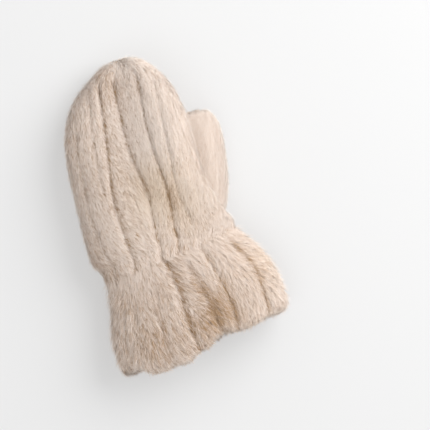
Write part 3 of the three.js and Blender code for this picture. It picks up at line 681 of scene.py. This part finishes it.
def fur_mesh(name, points, ways, wide, tone, relief):
    """One mesh of flat strands, pointed at both ends, two faces each, with tones for the material."""
    root, middle, tip = points
    four = np.stack([root, middle - wide / 2, middle + wide / 2, tip], 1)
    four[:, :, 2] = np.maximum(four[:, :, 2], FLOOR_CLEAR)
    face = unit(np.cross(wide, tip - root))
    face = face * np.where((face * ways[1]).sum(1) < 0, -1, 1)[:, None]
    outward = np.stack([ways[0], ways[1], ways[1], ways[2]], 1)
    normal = unit(outward * 0.7 + (face * relief[:, None])[:, None]).reshape(-1, 3)
    along = np.broadcast_to(np.array([0, 0.5, 0.5, 1.0]), four.shape[:2])
    tone = np.clip(tone, 0.02, 0.98)[:, None]
    warmth = np.clip(around(WARM_PLACES, "warmth", root), 0, 1)[:, None]
    tones = np.stack([along, tone + 0 * along, warmth + 0 * along, 0 * along + 1], 2).reshape(-1, 4)
    places = np.stack([0.02 + 0.96 * along, tone + np.array([0, -0.002, 0.002, 0])], 2).reshape(-1, 2)
    corners = (np.arange(len(four)) * 4)[:, None] + np.array([0, 2, 1, 1, 2, 3])
    corners = corners.ravel()
    mesh = bpy.data.meshes.new(name)
    mesh.vertices.add(four.size // 3)
    mesh.vertices.foreach_set("co", four.ravel())
    mesh.loops.add(len(corners))
    mesh.loops.foreach_set("vertex_index", corners)
    mesh.polygons.add(len(corners) // 3)
    mesh.polygons.foreach_set("loop_start", np.arange(0, len(corners), 3))
    mesh.update(calc_edges=True)
    mesh.polygons.foreach_set("use_smooth", np.ones(len(corners) // 3, bool))
    layer = mesh.uv_layers.new(name="OFBake")
    layer.uv.foreach_set("vector", places[corners].astype(np.float32).ravel())
    attribute = mesh.attributes.new("strand", "FLOAT_COLOR", "POINT")
    attribute.data.foreach_set("color", tones.astype(np.float32).ravel())
    mesh.normals_split_custom_set_from_vertices(normal.tolist())
    fur = bpy.data.objects.new(name, mesh)
    bpy.context.collection.objects.link(fur)
    return fur


def around(places, column, at):
    """Sum of a column's values near the places of a table, each falling off over its reach."""
    x, y = at[:, 0] / MM, at[:, 1] / MM
    apart = np.hypot(x[:, None] - places["x"], y[:, None] - places["y"]) / places["reach"]
    return (places[column] * np.exp(-(apart ** 2))).sum(1)


def mottling_and_painted_light(at):
    """A slow change of tone over the pile, with painted shade and painted light added at the listed places.
    """
    x, y, z = (at / MM).T
    wave = np.sin(x / 13 + 1.7 * np.sin(y / 19)) + np.sin(y / 17 + 2.1 * np.sin(x / 23 + z / 15) + 1)
    return 0.03 * wave + around(PAINTED_LIGHT_AND_ROOT_PATCHES, "tone", at)


def swirls(at):
    """A slow change of the pile's lie, in degrees; it grows towards the cuff."""
    x, y, z = (at / MM).T
    wave = np.sin(x / 9 + 2 * np.sin(y / 14 + z / 9)) + np.sin(y / 12 + 1.6 * np.sin(x / 13) + 2)
    return lerp(9, 4, smooth(y, -90, -20)) * wave


def skin_object(name, surface):
    """A copy of the CAD node, its outer faces let down below the pile."""
    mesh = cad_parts[name].data.copy()
    mesh.name = name + "_skin"
    at = surface["solid"].reshape(-1, 3)
    moved = (surface["skin"] - surface["solid"]).reshape(-1, 3)
    crease = surface["crease"].ravel()
    tree = KDTree(len(at))
    for index in range(len(at)):
        tree.insert(Vector(at[index]), index)
    tree.balance()
    tones = []
    for vertex in mesh.vertices:
        _, index, distance = tree.find(vertex.co)
        outer = distance < SKIN_REACH
        if outer:
            vertex.co = vertex.co + Vector(moved[index])
            vertex.co.z = max(vertex.co.z, FLOOR_CLEAR)
        # The skin is painted darker in the creases, as painted shade.
        tones.append((0.25, 0.55 - 0.25 * crease[index] if outer else 0.5, 0.0, 1.0))
    attribute = mesh.attributes.new("strand", "FLOAT_COLOR", "POINT")
    attribute.data.foreach_set("color", np.array(tones, np.float32).ravel())
    skin = bpy.data.objects.new(name + "_skin", mesh)
    bpy.context.collection.objects.link(skin)
    return skin


def group_input(tree, name, value):
    """Adds a named number to a node group, with its plain value."""
    socket = tree.interface.new_socket(name=name, in_out="INPUT", socket_type="NodeSocketFloat")
    socket.default_value = value


def fur_colours():
    """Colour of the pile from its place along a strand, its tone and its warmth, all from 0 to 1."""
    tree = bpy.data.node_groups.new("fur_colours", "ShaderNodeTree")
    group_input(tree, "Along", 0.5)
    group_input(tree, "Tone", 0.5)
    group_input(tree, "Warmth", 0.0)
    tree.interface.new_socket(name="Colour", in_out="OUTPUT", socket_type="NodeSocketColor")
    nodes, links = tree.nodes, tree.links
    given, result = nodes.new("NodeGroupInput"), nodes.new("NodeGroupOutput")
    def ramp(source, stops):
        node = nodes.new("ShaderNodeValToRGB")
        node.color_ramp.interpolation = "EASE"
        while len(node.color_ramp.elements) < len(stops):
            node.color_ramp.elements.new(0.5)
        for element, (place, colour) in zip(node.color_ramp.elements, stops):
            element.position = place
            element.color = (*colour, 1)
        links.new(source, node.inputs["Fac"])
        return node.outputs["Color"]
    tips = ramp(given.outputs["Tone"], [(0.0, TIP_DARK), (0.5, TIP_MIDDLE), (1.0, TIP_PALE)])
    roots = ramp(given.outputs["Tone"], [(0.0, ROOT_DARK), (0.5, ROOT_MIDDLE), (1.0, ROOT_PALE)])
    blend = nodes.new("ShaderNodeMapRange")
    blend.interpolation_type = "SMOOTHSTEP"
    links.new(given.outputs["Along"], blend.inputs["Value"])
    blend.inputs["From Max"].default_value = 0.85  # past it a strand has its tip's colour
    mix = nodes.new("ShaderNodeMix")
    mix.data_type = "RGBA"
    links.new(blend.outputs["Result"], mix.inputs["Factor"])
    links.new(roots, mix.inputs["A"])
    links.new(tips, mix.inputs["B"])
    tint = nodes.new("ShaderNodeMix")
    tint.data_type = "RGBA"
    tint.blend_type = "MULTIPLY"
    tint.inputs["B"].default_value = (*WARM_TINT, 1)
    links.new(given.outputs["Warmth"], tint.inputs["Factor"])
    links.new(mix.outputs["Result"], tint.inputs["A"])
    links.new(tint.outputs["Result"], result.inputs["Colour"])
    return tree


def linear(*steps):
    """A colour given in 255 steps, as light."""
    return tuple(((s / 255 + 0.055) / 1.055) ** 2.4 for s in steps)


TIP_PALE, TIP_MIDDLE, TIP_DARK = linear(253, 243, 234), linear(239, 226, 216), linear(190, 157, 122)
ROOT_PALE, ROOT_MIDDLE, ROOT_DARK = linear(236, 219, 204), linear(226, 205, 184), linear(160, 126, 94)
WARM_TINT = linear(255, 250, 238)


def fur_material(name, group, skin):
    """Soft matt hair; the skin under it has a fine grain too."""
    material = bpy.data.materials.new(name)
    material.use_nodes = True
    nodes, links = material.node_tree.nodes, material.node_tree.links
    shader = nodes["Principled BSDF"]
    shader.inputs["Roughness"].default_value = 0.85
    shader.inputs["Specular IOR Level"].default_value = 0.25
    shader.inputs["Sheen Weight"].default_value = 0.6
    shader.inputs["Sheen Roughness"].default_value = 0.4
    stored = nodes.new("ShaderNodeAttribute")
    stored.attribute_name = "strand"
    parts = nodes.new("ShaderNodeSeparateColor")
    links.new(stored.outputs["Color"], parts.inputs["Color"])
    colours = nodes.new("ShaderNodeGroup")
    colours.node_tree = group
    links.new(parts.outputs["Red"], colours.inputs["Along"])
    links.new(parts.outputs["Green"], colours.inputs["Tone"])
    links.new(parts.outputs["Blue"], colours.inputs["Warmth"])
    links.new(colours.outputs["Colour"], shader.inputs["Base Color"])
    if skin:
        place = nodes.new("ShaderNodeNewGeometry")
        grain = nodes.new("ShaderNodeTexNoise")
        grain.inputs["Scale"].default_value = 900
        grain.inputs["Detail"].default_value = 3
        links.new(place.outputs["Position"], grain.inputs["Vector"])
        bump = nodes.new("ShaderNodeBump")
        bump.inputs["Strength"].default_value = 0.5
        bump.inputs["Distance"].default_value = 0.6 * MM
        links.new(grain.outputs["Fac"], bump.inputs["Height"])
        links.new(bump.outputs["Normal"], shader.inputs["Normal"])
    return material


def mostly_up(strength):
    """More strands on what faces up than on what faces the floor."""
    def favour(out):
        return lerp(1.0, strength, smooth(out[:, :, 2], -0.3, 0.5))
    return favour


def cuff_favour(out):
    """The cuff's pile is thinnest on its inner face and thickest on top."""
    inside = np.ones(out.shape[:2])
    inside[CUFF_FACE_ROWS + CUFF_RIM_ROWS:] = 0.35
    return inside * mostly_up(2.4)(out)


colours = fur_colours()
fur_look = fur_material("pile", colours, False)
skin_look = fur_material("skin", colours, True)

back = hand["top"].astype(float)
PIECES = (
    ("back_panel", hand, "hand", "hand_fur", back, mostly_up(1.8)),
    ("palm_panel", hand, "hand", "palm_fur", 1 - back, mostly_up(1.0)),
    ("thumb", thumb, "thumb", "thumb_fur", 1 + 0 * thumb["crease"][0], mostly_up(2.4)),
    ("cuff", cuff, "cuff", "cuff_fur", 1 + 0 * cuff["crease"][0], cuff_favour),
)
for number, (node, surface, pile_name, slot_name, lines, favour) in enumerate(PIECES):
    rng = np.random.default_rng(SEED + number)
    pile = PILE[pile_name]
    row, column = scatter(surface, STRANDS[node], lines, cad_tree(node), pile["near"], rng, favour)
    fur = fur_mesh(node + "_pile", *combed(surface, row, column, pile, rng))
    fur.data.materials.append(fur_look)
    skin = skin_object(node, surface)
    skin.data.materials.clear()
    skin.data.materials.append(skin_look)
    for piece in (fur, skin):
        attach(piece, "root")
        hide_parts(node)

# Floor, light and camera
PICTURE_PIXELS = 430
PIXEL = 0.9 * MM
PICTURE_MIDDLE = (38.1 * MM, -16.7 * MM)
ROLL = math.radians(14.73)  # the mitten leans this far to the left in the picture
CAMERA_HEIGHT = 2.4
MITTEN_MIDDLE_HEIGHT = 0.035
FILM_WIDTH = 36


def pale_floor():
    """A wide plain floor that glows faintly, as a bright backdrop does."""
    bpy.ops.mesh.primitive_plane_add(size=30)
    floor = bpy.context.object
    floor.name = "floor"
    material = bpy.data.materials.new("floor")
    material.use_nodes = True
    shader = material.node_tree.nodes["Principled BSDF"]
    shader.inputs["Base Color"].default_value = (0.39, 0.39, 0.39, 1)
    shader.inputs["Roughness"].default_value = 0.9
    shader.inputs["Emission Color"].default_value = (1, 1, 1, 1)
    shader.inputs["Emission Strength"].default_value = 0.36
    floor.data.materials.append(material)


def even_daylight(strength):
    """Plain white light from all round."""
    world = bpy.data.worlds.new("studio")
    world.use_nodes = True
    background = world.node_tree.nodes["Background"]
    background.inputs["Color"].default_value = (1, 1, 1, 1)
    background.inputs["Strength"].default_value = strength
    bpy.context.scene.world = world
    bpy.context.scene.view_settings.view_transform = "Standard"


def from_picture(right, up, height):
    """A direction given as the picture sees it, in the part's own axes."""
    c, s = math.cos(ROLL), math.sin(ROLL)
    return right * c + up * s, up * c - right * s, height


def round_lamp(name, direction, distance, size, energy):
    """A soft round lamp that points at the mitten."""
    light = bpy.data.lights.new(name, "AREA")
    light.shape = "DISK"
    light.size = size
    light.energy = energy
    lamp = bpy.data.objects.new(name, light)
    bpy.context.collection.objects.link(lamp)
    lamp.location = Vector(direction).normalized() * distance
    lamp.rotation_euler = (-lamp.location).to_track_quat("-Z", "Y").to_euler()


def camera_above():
    """A camera that looks straight down, turned so that the mitten leans as in the picture."""
    camera = bpy.data.objects.new("camera", bpy.data.cameras.new("camera"))
    bpy.context.collection.objects.link(camera)
    bpy.context.scene.camera = camera
    camera.data.sensor_width = FILM_WIDTH
    camera.data.lens = FILM_WIDTH * (CAMERA_HEIGHT - MITTEN_MIDDLE_HEIGHT) / (PICTURE_PIXELS * PIXEL)
    camera.location = (*PICTURE_MIDDLE, CAMERA_HEIGHT)
    camera.rotation_euler = (0, 0, -ROLL)


pale_floor()
even_daylight(0.66)
round_lamp("key", from_picture(1.0, 0.8, 1.0), distance=1.6, size=1.6, energy=29)
round_lamp("fill", from_picture(-0.3, -0.8, 1.6), distance=1.8, size=1.4, energy=5)
camera_above()
